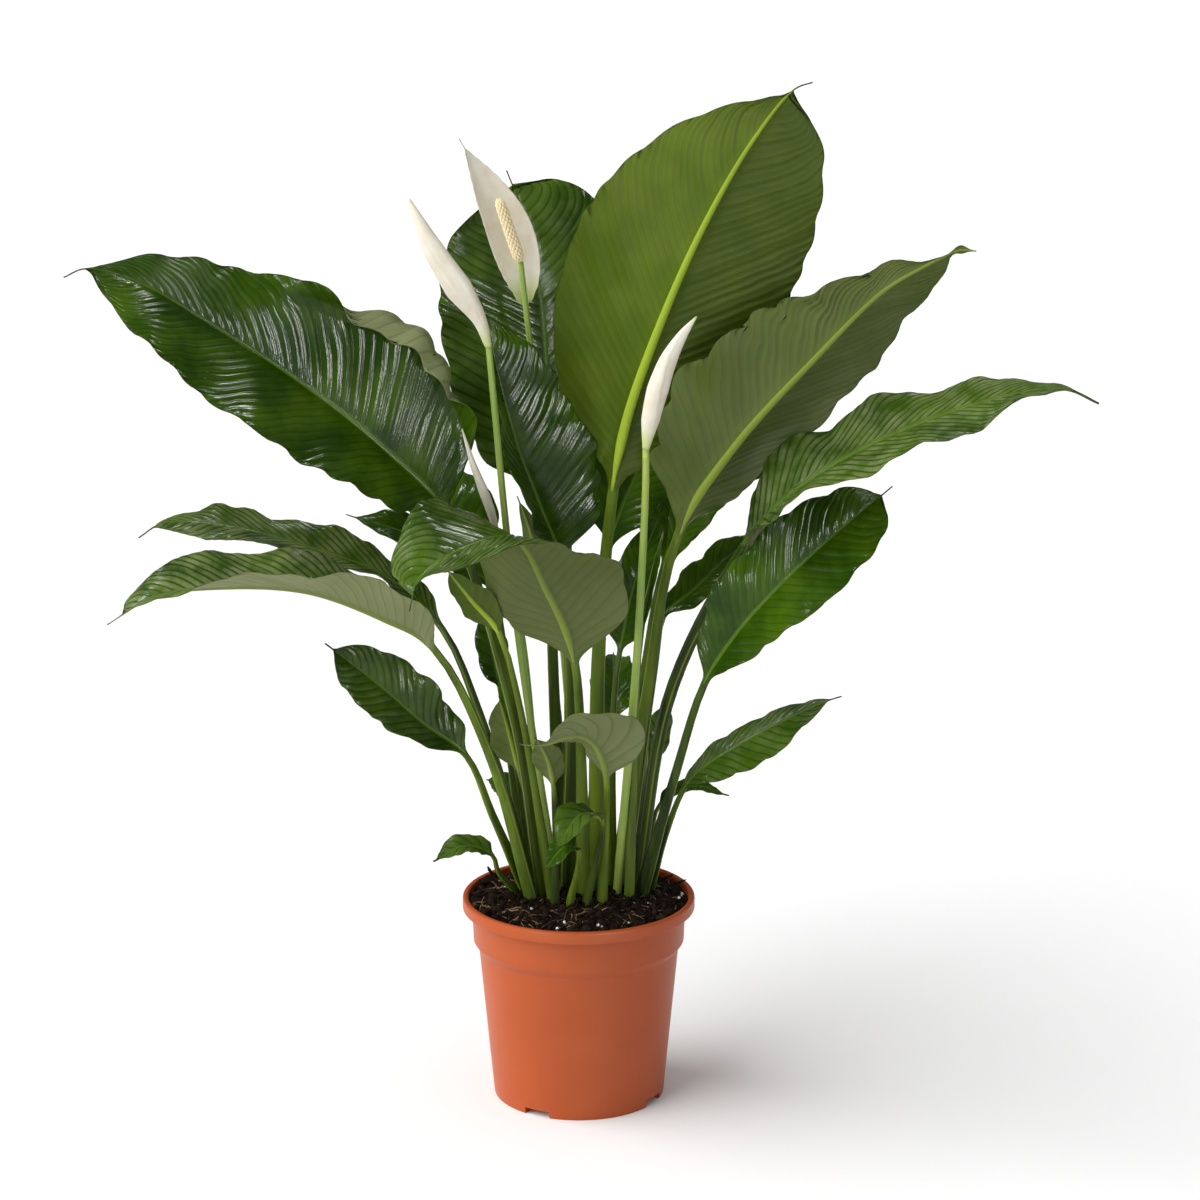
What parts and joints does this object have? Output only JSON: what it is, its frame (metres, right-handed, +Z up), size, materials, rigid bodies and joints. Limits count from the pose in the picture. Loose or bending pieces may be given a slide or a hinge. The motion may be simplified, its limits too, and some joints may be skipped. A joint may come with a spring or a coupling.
{
  "type": "potted peace lily",
  "caption": "Peace lily in a tapered plastic nursery pot: soil, arching stalked leaves with ribbed blades, and white hooded flowers, one open with its spadix.",
  "frame": {"origin": "centre of the flat middle of the pot's underside, on the surface that the pot stands on", "axes": "+Z up; -Y towards the front of the plant; +X to the right seen from the front"},
  "size_m": [0.7027, 0.3567, 0.7489],
  "materials": {
    "pot": "terracotta-coloured moulded plastic, semi-matt, with a slight gloss on the rim",
    "soil": "moist coarse peat with fibres and white perlite",
    "leaf": "living leaf: glossy dark green above, matt olive green below, light green stalk",
    "flower_stem": "living stem, yellow-green, satin",
    "spathe": "white petal-like hood, satin",
    "spadix": "cream spike covered in small bumps, matt"
  },
  "bodies": {
    "root": {"pot": "pot", "soil": "soil", "leaf_left_large": "leaf", "leaf_tall": "leaf", "leaf_right_upper": "leaf", "leaf_right_long": "leaf", "leaf_back_left": "leaf", "leaf_centre_dark": "leaf", "leaf_front_arch": "leaf", "leaf_right_mid": "leaf", "leaf_right_low": "leaf", "leaf_left_upper": "leaf", "leaf_left_lower": "leaf", "leaf_left_small": "leaf", "leaf_front_small": "leaf", "leaf_behind_right": "leaf", "leaf_behind_mid_right": "leaf", "leaf_back_centre": "leaf", "leaf_left_hidden": "leaf", "leaf_rear_left": "leaf", "leaf_rear_right": "leaf", "leaf_rear_middle": "leaf", "leaf_rear_low": "leaf", "leaf_upright_back": "leaf", "leaf_under_arch": "leaf", "leaf_dark_upright": "leaf", "leaf_dark_low": "leaf", "leaf_centre_low": "leaf", "leaf_grey_left": "leaf", "leaf_pale_tip": "leaf", "leaf_right_tiny": "leaf", "leaf_right_curl": "leaf", "leaf_left_lowest": "leaf", "leaf_front_tiny": "leaf", "leaf_front_lowest": "leaf", "leaf_young_rolled": "leaf", "flower_stem_open": "flower_stem", "flower_stem_curved": "flower_stem", "flower_stem_right": "flower_stem", "flower_stem_bud": "flower_stem", "spathe_curved": "spathe", "spathe_right": "spathe", "spathe_bud": "spathe", "spathe_open": "spathe", "spadix": "spadix"}
  },
  "joints": []
}
